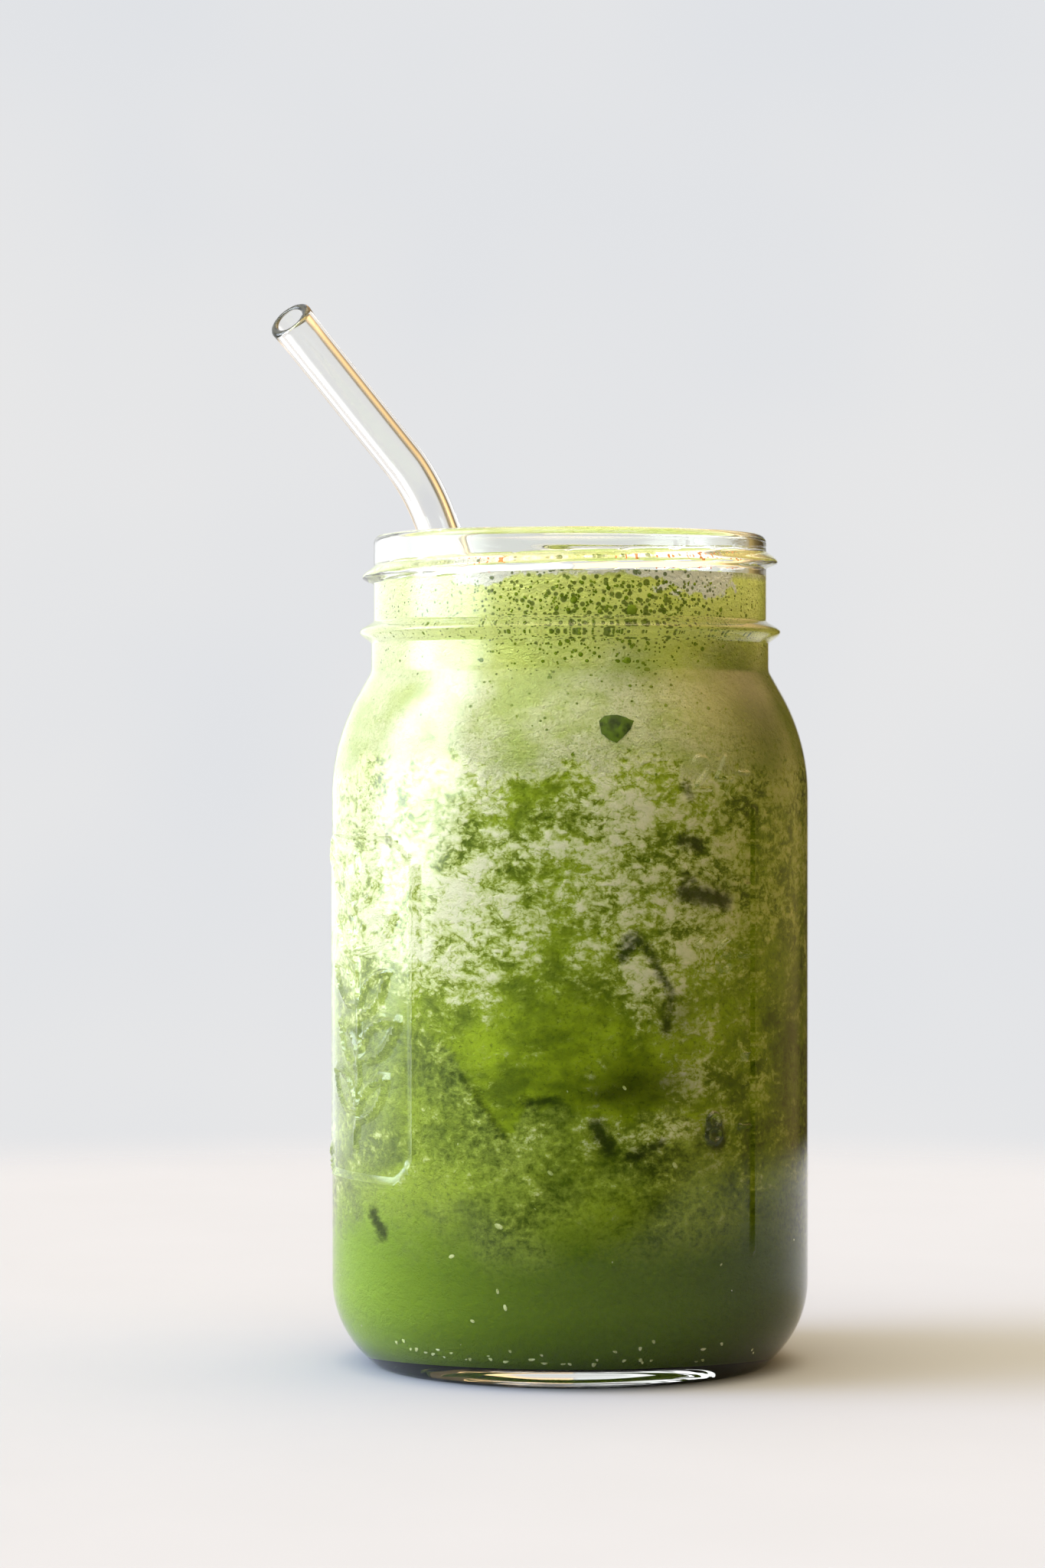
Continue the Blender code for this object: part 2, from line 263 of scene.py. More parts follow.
class Wire:
    """A node's output. Python's operators on it add Math nodes."""

    def __init__(self, paint, socket):
        self.paint = paint
        self.socket = socket

    def math(self, operation, *others):
        """A Math node of one operation on this value and others."""
        return self.paint.node("ShaderNodeMath", {"operation": operation}, [self, *others])

    def __add__(self, other):
        return self.math("ADD", other)

    def __sub__(self, other):
        return self.math("SUBTRACT", other)

    def __rsub__(self, other):
        return self.paint.node("ShaderNodeMath", {"operation": "SUBTRACT"}, [other, self])

    def __mul__(self, other):
        return self.math("MULTIPLY", other)

    def __pow__(self, other):
        return self.math("POWER", other)

    def __abs__(self):
        return self.math("ABSOLUTE")

    __rmul__ = __mul__

    def ramp(self, low, high):
        """0 below low, 1 above high, smooth between them."""
        settings = {"interpolation_type": "SMOOTHSTEP"}
        return self.paint.node("ShaderNodeMapRange", settings, [self, low, high])


class Paint:
    """A material and the nodes that it is made of."""

    def __init__(self, name, tree=None):
        if tree is None:
            self.material = bpy.data.materials.new(name)
            self.material.use_nodes = True
            tree = self.material.node_tree
        self.tree = tree
        self.shader = tree.nodes.get("Principled BSDF")

    def node(self, kind, settings=None, values=(), output=0):
        """A new node of a type, its settings set first, then its sockets' values or links.

        Values are a list in the sockets' order or a dict by name or number; a ramp's
        settings hold its stops, as (place, colour)."""
        made = self.tree.nodes.new(kind)
        settings = dict(settings or {})
        for number, (place, colour) in enumerate(settings.pop("stops", ())):
            stops = made.color_ramp.elements
            stop = stops[number] if number < 2 else stops.new(place)
            stop.position = place
            stop.color = (*colour, 1)
        for name, value in settings.items():
            setattr(made, name, value)
        pairs = values.items() if isinstance(values, dict) else enumerate(values)
        for key, value in pairs:
            self.plug(made.inputs[key], value)
        return Wire(self, made.outputs[output])

    def plug(self, socket, value):
        """Links a wire to a socket, or sets the socket to a plain value."""
        if isinstance(value, Wire):
            self.tree.links.new(value.socket, socket)
        else:
            socket.default_value = value

    def vector(self, operation, *values):
        """A Vector Math node of one operation."""
        return self.node("ShaderNodeVectorMath", {"operation": operation}, values)

    def split(self, place):
        """The x, y and z of a place."""
        parts = self.node("ShaderNodeSeparateXYZ", {}, [place]).socket.node
        return [Wire(self, output) for output in parts.outputs]

    def place(self, scale=(1, 1, 1)):
        """The point's place in millimetres, stretched by a scale on each axis."""
        coordinates = self.node("ShaderNodeTexCoord", output="Object")
        return self.vector("MULTIPLY", coordinates, [value / MM for value in scale])

    def shift(self, place, other, amount):
        """A place moved by a colour's value, less a half, times an amount."""
        centred = self.vector("SUBTRACT", other, (0.5,) * 3)
        return self.vector("MULTIPLY_ADD", centred, (amount,) * 3, place)

    def grain(self, place, size, detail=4.0, roughness=0.5, output=0):
        """Noise whose largest features are about a size in millimetres."""
        values = {"Vector": place, "Scale": 1 / size, "Detail": detail, "Roughness": roughness}
        return self.node("ShaderNodeTexNoise", {}, values, output)

    def cells(self, place, size):
        """The distance to the nearest of scattered points, about a size in mm apart."""
        values = {"Vector": place, "Scale": 1 / size}
        return self.node("ShaderNodeTexVoronoi", {}, values, "Distance")

    def read(self, name):
        """What add_attribute gave each point."""
        return self.node("ShaderNodeAttribute", {"attribute_name": name}, output="Fac")

    def mix(self, factor, low, high):
        """A colour between low and high."""
        low, high = (value if isinstance(value, Wire) else (*value, 1) for value in (low, high))
        settings = {"data_type": "RGBA"}
        return self.node("ShaderNodeMix", settings, {0: factor, 6: low, 7: high}, 2)

    def tint(self, colour, share, by):
        """A colour multiplied by another, as far as the share says."""
        return self.vector("MULTIPLY", colour, self.mix(share, (1, 1, 1), by))

    def bump(self, height, distance, strength=1.0):
        """A bump whose height, from 0 to 1, stands for a distance in millimetres."""
        values = {"Height": height, "Distance": distance * MM, "Strength": strength}
        self.set("Normal", self.node("ShaderNodeBump", {}, values))

    def set(self, name, value):
        """Sets or links one of the shader's inputs."""
        self.plug(self.shader.inputs[name], value)

    def matt(self, roughness):
        """A surface without a mirror image."""
        self.set("Roughness", roughness)
        self.set("Specular IOR Level", 0.0)


# Real glass mirrors more, but the photo has hardly any haze over the dark lower part
GLASS_MIRROR = (0.60, 0.63, 0.42)
JAR_TINT = (0.965, 0.982, 0.945)
JAR_WAVINESS = 0.03
STRAW_TINT = (0.985, 0.99, 0.98)

# The juice's colours, brighter than they look because they are seen through glass. A pair is
# the two ends that a mix runs between.
DEEP = ((0.110, 0.175, 0.002), (0.440, 0.610, 0.014))
DEEP_FIBRE = (0.085, 0.140, 0.001)
PULP = ((0.050, 0.090, 0.001), (0.380, 0.500, 0.060))
# The curds' colours up their relief: the pale stops are the curds' own colour; the dark low stops
# are partly the green juice between curds and partly painted shade in the hollows
CURD_STOPS = [
    (0.0, (0.22, 0.31, 0.008)), (0.35, (0.46, 0.56, 0.09)),
    (0.65, (0.72, 0.79, 0.34)), (1.0, (0.92, 0.93, 0.62)),
]
FROTH = ((0.46, 0.56, 0.15), (0.70, 0.73, 0.42))
FROTH_FIBRE = (0.36, 0.46, 0.10)
FIZZ = (0.24, 0.33, 0.04)
# The neck's froth: the second colour, paler, is painted window light on the window's side
NECK = ((0.80, 0.90, 0.17), (0.86, 0.90, 0.52))
DRY_FOAM = (0.85, 0.87, 0.70)
BUBBLE_DOT = (0.08, 0.14, 0.004)
SETTLED = ((0.068, 0.128, 0.001), (0.098, 0.176, 0.001))
# Painted window light: the settled juice, and a little of all the juice, paler on the window's
# side
SETTLED_LIT = (0.30, 0.48, 0.04)
WINDOW_GLOW = (0.85, 0.95, 0.45)
DARK_SHAPE = (0.026, 0.048, 0.004)
# Painted shade: the tint that dims the side away from the window
SHADE_TINT = (0.64, 0.66, 0.28)
# Painted shade: the tint that dulls the free top of the froth
TOP_SHADE_TINT = (0.50, 0.56, 0.60)
# The dark that the light patches dim towards: painted shade on the far right, soft dark patches in
# the middle
UNLIT = (0.020, 0.034, 0.001)


def clear_glass(name, tint, waviness):
    """Clear glass, tinted a little where light goes far through it, its face faintly wavy."""
    paint = Paint(name)
    paint.set("Base Color", (*tint, 1))
    paint.set("Transmission Weight", 1.0)
    paint.set("Roughness", 0.0)
    paint.set("IOR", 1.5)
    paint.set("Specular Tint", (*GLASS_MIRROR, 1))
    waves = paint.grain(paint.place((1, 1, 0.6)), 16.0, detail=2.0)
    paint.bump(waves, waviness)
    return paint.material


def juice_paint():
    """Froth, curds, pulp and settled juice in one material, from the pieces' attributes.

    curd is the share that pale curds cover, pulp how much fine fibre shows, foam and clear
    how far froth or smooth juice takes over, light a dimming from 1 to 0 (painted shade on the
    far right, soft dark patches elsewhere), glow how near the window's side is, where window
    light is painted, shade how far painted shade dims the far side, neck where the froth in
    the neck is bright, top where painted shade dulls the free top, dots how thickly bubbles
    lie, white how much of the froth is dry foam, and shapes the distance in millimetres to the
    nearest dark shape's edge, less than 0 inside it."""
    paint = Paint("juice")
    place = paint.place((1, 1, 1.45))
    warp = paint.grain(place, 6.0, detail=3.0, output="Color")
    islands = paint.grain(paint.shift(place, warp, 6.0), 7.5, detail=8.0, roughness=0.6)
    curls = paint.grain(paint.shift(place, warp, 2.4), 2.1, detail=5.0, roughness=0.6)
    fibre = paint.grain(paint.place(), 0.9, detail=5.0, roughness=0.78)
    cloud = paint.grain(place, 15.0, roughness=0.6)
    # Thin creases between curds, as painted shade: along them the curds' colour darkens and the
    # bump sinks
    crease_shade = paint.grain(paint.shift(place, warp, 3.0), 3.2, roughness=0.55)
    crease_shade = abs(crease_shade - 0.5).ramp(0.0, 0.05)
    glow = paint.read("glow")

    deep = paint.mix(cloud.ramp(0.35, 0.65), *DEEP)
    deep = paint.mix(fibre.ramp(0.26, 0.50), DEEP_FIBRE, deep)
    threads = fibre * 0.35 + curls * 0.40 + cloud * 0.25
    fibres = paint.mix(threads.ramp(0.38, 0.63), *PULP)
    body = paint.mix(paint.read("pulp"), deep, fibres)
    height = paint.read("curd") + (islands - 0.5) * 2.3 + (curls - 0.5) * 2.2
    height = height + (fibre - 0.5) * 0.9 - (1 - crease_shade) * 0.28
    curds = paint.node("ShaderNodeValToRGB", {"stops": CURD_STOPS}, [height - 0.15])
    body = paint.mix(height.ramp(0.05, 0.86), body, curds)

    froth = paint.mix(cloud.ramp(0.36, 0.62), *FROTH)
    froth = paint.mix(fibre.ramp(0.30, 0.52), FROTH_FIBRE, froth)
    fizz = paint.cells(paint.place(), 0.62)
    froth = paint.mix((1 - fizz.ramp(0.16, 0.40)) * 0.34, froth, FIZZ)
    # The neck's froth, paler towards the window's side: painted window light
    froth = paint.mix(paint.read("neck") * 0.8, froth, paint.mix(glow, *NECK))
    dry = (paint.read("white") + (islands - 0.5) * 1.2 + (curls - 0.5)).ramp(0.42, 0.58)
    froth = paint.mix(dry, froth, DRY_FOAM)
    foam = paint.read("foam") + (islands - 0.5) * 1.5 + (curls - 0.5) * 0.6
    colour = paint.mix(foam.ramp(0.35, 0.65), body, froth)
    for size, share, least in ((2.9, 0.20, 0.05), (1.35, 0.27, 0.03)):
        bubbles = paint.cells(paint.place(), size)
        dots = 1 - (bubbles - share * paint.read("dots") + least).ramp(-0.04, 0.05)
        colour = paint.mix(dots * 0.85, colour, BUBBLE_DOT)
    settled = paint.mix(fibre.ramp(0.2, 0.8), *SETTLED)
    # Painted window light: paler juice on the window's side
    settled = paint.mix(glow, settled, SETTLED_LIT)
    colour = paint.mix(glow * 0.2, colour, WINDOW_GLOW)
    sunk = paint.read("clear") + (cloud - 0.5) * 0.8 + (curls - 0.5) * 0.5
    colour = paint.mix(sunk.ramp(0.15, 0.85), colour, settled)

    ragged = paint.grain(place, 1.6, roughness=0.65)
    uneven = (ragged - 0.5) * 2.2 + (curls - 0.5) * 3.2
    inside = 1 - (paint.read("shapes") + uneven).ramp(-1.3, 1.0)
    colour = paint.mix(inside * 0.92, colour, DARK_SHAPE)
    # Painted shade on the side away from the window
    colour = paint.tint(colour, paint.read("shade"), SHADE_TINT)
    # Painted shade over the free top
    colour = paint.tint(colour, paint.read("top"), TOP_SHADE_TINT)
    # The light patches' painted dimming towards UNLIT
    paint.set("Base Color", paint.mix(paint.read("light"), UNLIT, colour))
    paint.matt(0.6)
    paint.bump(height, 1.3, 0.7)
    return paint.material


def plain_food(name, dark, light, size, roughness):
    """A small bit of food, mottled between two colours."""
    paint = Paint(name)
    mottle = paint.grain(paint.place(), size, roughness=0.6)
    paint.set("Base Color", paint.mix(mottle.ramp(0.35, 0.65), dark, light))
    paint.matt(roughness)
    paint.bump(mottle, 0.1)
    return paint.material


# The jar

def shelf(end, radius, size, count):
    """The hollow fillet from a shoulder's slope, which ends at a point, up to a neck's wall."""
    centre = radius + size
    run = (end[0] - (centre - size * math.cos(SHOULDER_SLOPE))) / math.tan(SHOULDER_SLOPE)
    middle = centre, end[1] + run + size * math.sin(SHOULDER_SLOPE)
    return arc(middle, size, math.pi + SHOULDER_SLOPE, math.pi, count)


def lip_edge(start):
    """Half of the rolled lip, from an angle to its top."""
    return arc((MOUTH_RADIUS + LIP, RIM_HEIGHT - LIP), LIP, start, math.pi / 2, 8)


def outside_profile():
    """(radius, height) up the outside, from the foot's middle ring to the lip's top."""
    drop = BODY_RADIUS - FOOT_RADIUS
    heel = (HEEL_HEIGHT**2 + drop**2) / (2 * drop)
    foot = arc((BODY_RADIUS - heel, HEEL_HEIGHT), heel, -math.asin(HEEL_HEIGHT / heel), 0, 18)
    heights = crowded(HEEL_HEIGHT, SHOULDER_START, WALL_ROWS, WALL_SPOTS)[1:-1]
    wall = np.stack([np.full_like(heights, BODY_RADIUS), heights], 1)
    centre = (BODY_RADIUS - SHOULDER_ARC, SHOULDER_START)
    bends = crowded(0, SHOULDER_SLOPE, SHOULDER_ROWS, SHOULDER_SPOTS)
    shoulder = turned(centre, SHOULDER_ARC, bends)
    hollow = shelf(shoulder[-1], NECK_RADIUS, OUTER_FILLET, 6)

    heights = np.linspace(hollow[-1, 1] + 1, RIM_HEIGHT - 2.2, 88)
    middle, half = sum(BEAD) / 2, (BEAD[1] - BEAD[0]) / 2
    root = np.where(heights < middle, NECK_RADIUS, FINISH_RADIUS)
    across = np.clip((heights - middle) / half, -1, 1)
    bead = root + (BEAD_RADIUS - root) * np.cos(across * np.pi / 2) ** 1.4
    neck = np.stack([bead, heights], 1)
    return np.concatenate([foot, wall, shoulder, hollow, neck, lip_edge(0)])


def inside_profile():
    """(radius, height) up the inside, from the floor's edge to the lip's top."""
    inside = BODY_RADIUS - WALL
    heel = arc((FLAT_RADIUS, FLOOR_HEIGHT + INNER_HEEL), INNER_HEEL, -math.pi / 2, 0, 18)
    bend = SHOULDER_ARC - WALL
    shoulder = arc((inside - bend, SHOULDER_START), bend, 0, SHOULDER_SLOPE, 14)
    hollow = shelf(shoulder[-1], MOUTH_RADIUS, INNER_FILLET, 8)
    return np.concatenate([heel, shoulder, hollow, lip_edge(math.pi)])


def thread_relief(bearing, height):
    """The screw thread's ridge: it climbs a pitch for each turn to the right, its lower and
    upper flank have their own reach, and its ends fade out round the back."""
    ridge = np.zeros(np.broadcast(bearing, height).shape)
    for turns in (-360, 0, 360):
        along = bearing + turns
        up = height - THREAD_HEIGHT - THREAD_PITCH * along / 360
        flank = np.where(up > 0, up / THREAD_FLANKS[1], -up / THREAD_FLANKS[0])
        shape = np.cos(np.clip(flank, 0, 1) * np.pi / 2) ** 1.3
        fade = np.sin(np.clip((THREAD_TURN - np.abs(along)) / THREAD_FADE, 0, 1) * np.pi / 2)
        ridge = np.maximum(ridge, THREAD_DEPTH * shape * fade)
    return ridge


def distance_to_line(across, up, points):
    """Least distance from grid places to a line through a list of points."""
    nearest = np.full(across.shape, 1e9)
    for (x0, z0), (x1, z1) in zip(points, points[1:]):
        dx, dz = x1 - x0, z1 - z0
        share = np.clip(((across - x0) * dx + (up - z0) * dz) / (dx * dx + dz * dz + 1e-9), 0, 1)
        gap = np.hypot(across - x0 - share * dx, up - z0 - share * dz)
        nearest = np.minimum(nearest, gap)
    return nearest


def curve(centre, radii, start, end, count=14):
    """Points of part of an ellipse, angles in degrees from its right side."""
    turn = np.radians(np.linspace(start, end, count))
    return [(centre[0] + radii[0] * math.cos(a), centre[1] + radii[1] * math.sin(a)) for a in turn]


# The strokes of each figure in a box 0.6 wide and 1 high
NUMERALS = {
    "1": [[(0.12, 0.8), (0.32, 1.0), (0.32, 0.0)]],
    "2": [curve((0.3, 0.73), (0.27, 0.27), 170, -35) + [(0.03, 0.0), (0.6, 0.0)]],
    "4": [[(0.6, 0.3), (0.0, 0.3), (0.44, 1.0), (0.44, 0.0)]],
    "6": [
        curve((0.3, 0.3), (0.28, 0.3), 0, 360, 20),
        curve((0.58, 0.3), (0.56, 0.7), 180, 100),
    ],
    "8": [
        curve((0.3, 0.26), (0.28, 0.26), 0, 360, 20),
        curve((0.3, 0.75), (0.23, 0.23), 0, 360, 18),
    ],
}


def leaf(root, tip, width):
    """A closed leaf outline: a line from root to tip, bowed out by a half sine each way."""
    along = np.linspace(0, 1, 9)[:, None]
    root, tip = np.array(root), np.array(tip)
    way = tip - root
    bow = np.sin(along * np.pi) * width / 2 * unit(np.array([-way[1], way[0]]))
    line = root + along * way
    return [tuple(point) for point in np.concatenate([line + bow, (line - bow)[::-1]])]


def scale_strokes():
    """The moulded measure: figures, ticks and an upright line, as (across, up) in mm from
    the scale's bearing."""
    strokes = []
    for text, height, size in (("24", 117.6, 6.2), ("16", 82.0, 6.0), ("8", 48.4, 5.6)):
        for number, figure in enumerate(text):
            left = (number - len(text) / 2) * size * 0.86
            for stroke in NUMERALS[figure]:
                strokes.append([(left + x * size, height + z * size) for x, z in stroke])
        strokes.append([(6.2, height + size / 2), (8.6, height + size / 2)])
    for height in (65.4, 99.0):
        strokes.append([(6.8, height), (8.6, height)])
    strokes.append([(9.8, 26.5), (9.8, 113.0)])
    return strokes


def sprig_strokes():
    """The moulded ornament: a leafy sprig in a plain frame with rounded corners."""
    wide, low, high, corner = 19.0, 39.0, 108.0, 7.0
    frame_line = []
    for x, z, start in ((wide, high, 0), (-wide, high, 90), (-wide, low, 180), (wide, low, 270)):
        middle = (x - math.copysign(corner, x), z + (corner if z == low else -corner))
        frame_line += curve(middle, (corner, corner), start, start + 90, 6)
    strokes = [frame_line + frame_line[:1]]
    stem = [(1.6 * math.sin((z - 46) / 13), z) for z in np.linspace(46, 99, 16)]
    strokes.append(stem)
    for number in range(5):
        x, z = stem[2 + number * 3]
        side = 1 if number % 2 else -1
        strokes.append(leaf((x, z), (x + side * 13, z + 8), 6.0))
        strokes.append(leaf((x, z - 2), (x - side * 10, z + 7), 5.0))
    strokes.append(leaf(stem[-1], (stem[-1][0] + 1, 105.0), 4.0))
    return strokes


def moulded_relief(bearing, height):
    """Ridges on the body: a rounded ridge along each stroke, and the mould's seam."""
    relief = np.zeros(bearing.shape)
    scale = SCALE_BEARING, scale_strokes(), SCALE_RIDGE
    sprig = SPRIG_BEARING, sprig_strokes(), SPRIG_RIDGE
    for at, strokes, (half, high) in (scale, sprig):
        across = np.radians(bearing - at) * BODY_RADIUS
        for stroke in strokes:
            near = distance_to_line(across, height, stroke)
            relief = np.maximum(relief, high * smooth(half, half * 0.25, near))
    half, high = SEAM_RIDGE
    fade = smooth(12, 20, height) * smooth(146, 140, height)
    for seam in SEAM_BEARINGS:
        relief = np.maximum(relief, high * hump(bearing, seam, half) * fade)
    return relief


def make_jar():
    """The glass as one closed surface: the punt, up the outside, over the lip, down the
    inside, and the floor. The radius has the thread and the moulded marks added."""
    bearing = crowded(-180, 180, JAR_COLUMNS, COLUMN_SPOTS)[:-1][None, :]
    punt = np.linspace(0.1, 1, 36)[:, None] * PUNT_RADIUS
    punt = np.concatenate([punt, PUNT_HEIGHT * (1 - (punt / PUNT_RADIUS) ** 2)], 1)
    under = len(punt) - 1
    outside = outside_profile()
    inside = inside_profile()[::-1][1:]
    share = np.linspace(0.8, 0.05, 6)[:, None]
    floor = np.concatenate([share * FLAT_RADIUS, FLOOR_HEIGHT + FLOOR_CROWN * (1 - share**2)], 1)
    profile = np.concatenate([punt, outside, inside, floor])
    radius, height = profile[:, :1], profile[:, 1:]
    bearings = bearing + 0 * height
    heights = height + 0 * bearing
    outer = slice(len(punt), len(punt) + len(outside))
    relief = np.zeros(bearings.shape)
    relief[outer] = moulded_relief(bearings[outer], heights[outer])
    relief[outer] += thread_relief(bearings[outer], heights[outer])
    base = round_axis(bearings, radius, heights)[:under]
    rings = np.sin(radius[:under] * RING_TURNS + noise(base, 30.0, 4, 2) * 1.6)
    heights[:under] += RING_DEPTH * rings * smooth(0, 6, PUNT_RADIUS - radius[:under])
    grid = round_axis(bearings, radius + relief, heights)
    jar = closed_grid("jar_glass", grid, clear_glass("jar_glass", JAR_TINT, JAR_WAVINESS))
    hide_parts("jar")
    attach(jar, "root")


# The drink

def wall_radius(height):
    """The drink's radius at a height: the jar's inside and a little way into its wall."""
    profile = inside_profile()
    return np.interp(height, profile[:, 1], profile[:, 0]) + INTO_WALL


def ripple(points, waves):
    """An uneven height: a sum of sines (size, waves across the jar, heading, start)."""
    total = np.zeros(points.shape[:-1])
    for size, across, heading, start in waves:
        way = points[..., 0] * math.cos(heading) + points[..., 1] * math.sin(heading)
        total = total + size * np.sin(math.pi * across * way / BODY_RADIUS + start)
    return total


def froth_top(points):
    """Low mounds, a field of small bubbles, and a meniscus up the glass."""
    far = np.hypot(points[..., 0], points[..., 1]) / MOUTH_RADIUS
    climb = np.clip(far, 0, 1) ** 8
    foam = noise(points * [1, 1, 0], 7.0, 21, 4) * 0.28
    waves = [(0.35, 1.7, 0.4, 0.2), (0.3, 2.6, 2.1, 1.3), (0.2, 4.1, 1.2, 0.5)]
    return JUICE_LEVEL + (ripple(points, waves) + foam) * (1 - climb) + MENISCUS * climb


def froth_base(points):
    """Where the froth ends and the marbled part begins."""
    waves = [(3.2, 0.8, 0.5, 0.9), (1.8, 1.9, 2.3, 0.3), (0.8, 3.4, 1.1, 2.0)]
    return FROTH_BASE + ripple(points, waves)


def settled_top(points):
    """Where the marbled part ends and the settled juice begins."""
    return SETTLED_TOP + ripple(points, [(1.4, 0.9, 2.6, 0.4), (0.8, 2.2, 1.0, 1.7)])


def jar_floor(points):
    """The glass floor, highest at its middle, and the gap over it."""
    far = np.clip(np.hypot(points[..., 0], points[..., 1]) / FLAT_RADIUS, 0, 1)
    return FLOOR_HEIGHT + OVER_FLOOR + FLOOR_CROWN * (1 - far**2)


def layer_grid(low_face, high_face, rows, face_rows):
    """A closed layer's grid: out along its low face, up the wall, and in along its high
    face. Each face keeps its height at the wall, and eases to its own height inside."""
    bearing = np.linspace(-180, 180, LAYER_COLUMNS, endpoint=False)[None, :]

    def face(height_at, share):
        rim = height_at(round_axis(bearing, MOUTH_RADIUS, 0.0) - AXIS)
        edge_radius = wall_radius(rim)
        inside = round_axis(bearing, edge_radius * share, 0.0) - AXIS
        ease = share**3
        return edge_radius * share, height_at(inside) * (1 - ease) + rim * ease, rim

    up = np.linspace(0, 1, rows)[1:-1, None]
    if low_face is jar_floor:
        share = np.linspace(0.05, 1, face_rows[0])[:, None]
        low_radius = share * FLAT_RADIUS + 0 * bearing
        low_height = jar_floor(round_axis(bearing, low_radius, 0.0) - AXIS)
        low_rim = low_height[-1:]
        up = up**1.6
    else:
        share = np.linspace(0.03, 1, face_rows[0])[:, None]
        low_radius, low_height, low_rim = face(low_face, share)
    share = np.linspace(1, 0.03, face_rows[1])[:, None]
    high_radius, high_height, high_rim = face(high_face, share)
    wall_height = low_rim + (high_rim - low_rim) * up
    radius = np.concatenate([low_radius, wall_radius(wall_height), high_radius])
    height = np.concatenate([low_height, wall_height, high_height])
    return bearing + 0 * radius, radius, height


# How much of the drink pale curds cover: (height, share)
CURD_BY_HEIGHT = [
    (26, 0), (34, 0.14), (46, 0.26), (54, 0.26), (57, 0.1), (64, 0.12), (70, 0.24), (76, 0.42),
    (84, 0.6), (94, 0.72), (104, 0.76), (112, 0.8), (118, 0.9), (122, 1),
]
# Patches on the wall: (bearing, height, width, tallness, amount)
CURD_PATCHES = [
    (-8, 117.5, 9, 3.2, -0.75), (-18, 111, 6, 2.6, -0.65), (0, 112, 4, 6, -0.35),
    (-26, 104, 6, 4, -0.35), (19, 118.5, 8, 2, -0.45), (25, 107, 8, 3.5, -0.3),
    (-8, 102, 10, 5, -0.22), (-2, 90, 12, 6, -0.14), (12, 112, 6, 4, 0.2),
    (16, 101, 10, 4, 0.2), (30, 88, 12, 6, 0.2), (34, 70, 10, 8, 0.2), (38, 60, 20, 10, 0.3),
    (18, 78, 7, 8, 0.25), (-34, 88, 14, 14, 0.25), (-22, 92, 7, 4, 0.2), (-40, 108, 20, 8, 0.2),
    (-14, 66, 18, 10, -0.25), (10, 66, 10, 9, -0.3), (60, 88, 14, 24, -0.25),
    (12, 51, 14, 4, 0.2), (-50, 60, 14, 12, -0.15), (44, 112, 8, 8, -0.15),
    (-62, 104, 26, 22, 0.35), (-30, 42, 16, 14, -0.25), (14, 34, 26, 9, -0.12),
]
# Where fibrous pulp ends and clearer juice begins: (bearing, height)
PULP_EDGE = [
    (-180, 62), (-60, 70), (-40, 72), (-30, 66), (-26.5, 61), (-21, 54.4), (-15.7, 48.8),
    (-10.6, 55.7), (-1.5, 55.4), (4.9, 52.4), (12, 52.5), (18.9, 55.2), (26.9, 54.5),
    (35.6, 49), (45, 60), (60, 66), (180, 62),
]
# Patches dimmed towards UNLIT, as painted shade on the far right side and as soft dark
# patches in the middle, and white ones of dry foam at the free top
LIGHT_PATCHES = [
    (17, 60, 13, 4.4, 0.78), (7, 57.5, 7, 2.4, 0.45), (-4, 62, 10, 6, 0.18),
    (18, 45, 9, 3, 0.28), (36, 49, 5, 6, 0.45), (68, 60, 8, 22, 0.5), (34, 97, 9, 2.8, 0.45),
    (6, 50, 4, 4, 0.3), (26, 73, 6, 5, 0.45), (72, 34, 9, 5, 0.45), (0, 73, 7, 5, 0.25),
    (60, 132, 18, 15, 0.7), (66, 10, 22, 16, 0.4),
]
WHITE_PATCHES = [
    (41, 158.4, 17, 3.2, 1), (-30, 159, 12, 2, 0.75), (10, 160.5, 40, 1.2, 0.6),
]
# Stems and crevices: a line of (bearing, height), and its half width in mm
DARK_SHAPES = [
    ([(11.3, 86.5), (13.7, 88.9), (15.6, 89.2), (20.3, 83.4), (24.2, 77.4), (22.8, 70.4)], 0.95),
    ([(12, 85.2), (15.5, 88)], 1.5), ([(27.5, 97.4), (34.4, 96.4), (39.8, 95.4)], 1.9),
    ([(28, 100.5), (30, 99.5)], 1), ([(27.5, 107.5), (31.5, 106.6)], 1.5),
    ([(-26.8, 60.9), (-21, 54.6), (-16.2, 49.6)], 0.55),
    ([(-12, 56.6), (-8, 56.8), (-3, 57.2)], 0.85),
    ([(13.7, 45.9), (17.9, 47), (21.4, 48.3)], 1.2), ([(5.5, 52.4), (8.5, 47.5)], 1.6),
    ([(-56.4, 33), (-52.2, 29.2)], 1.6), ([(36.5, 51), (37.5, 48.5)], 2.4),
    ([(28, 118), (29.5, 116)], 0.9), ([(-50.8, 108.5), (-49.5, 107.4)], 0.5),
]


def patches(base, bearing, height, places):
    """A value with humps added at places (bearing, height, width, tallness, amount)."""
    for at, up, wide, high, amount in places:
        base = base + amount * hump(bearing, at, wide) * hump(height, up, high)
    return base


def shape_distance(bearing, height):
    """Distance to the nearest dark shape's edge along the wall, less than 0 inside it."""
    across = np.radians(bearing) * BODY_RADIUS
    nearest = np.full(bearing.shape, 30.0)
    for points, half in DARK_SHAPES:
        route = [(math.radians(at) * BODY_RADIUS, up) for at, up in points]
        nearest = np.minimum(nearest, distance_to_line(across, height, route) - half)
    return nearest


# Heights between which each of these takes over, and where the neck's brightness ends
PULP_FADE = (16, 30)
CLEAR_FADE = (44, 16)
FOAM_FADE = (112, 131)
NECK_FADE = (138, 150)
TOP_FADE = (150, 157)
NECK_END = (160.4, 159.2)

# The window's side, where its light is painted, and where bubbles lie thickest: bearing, reach
GLOW = (-78, 42)
DOTS = (12, 38)


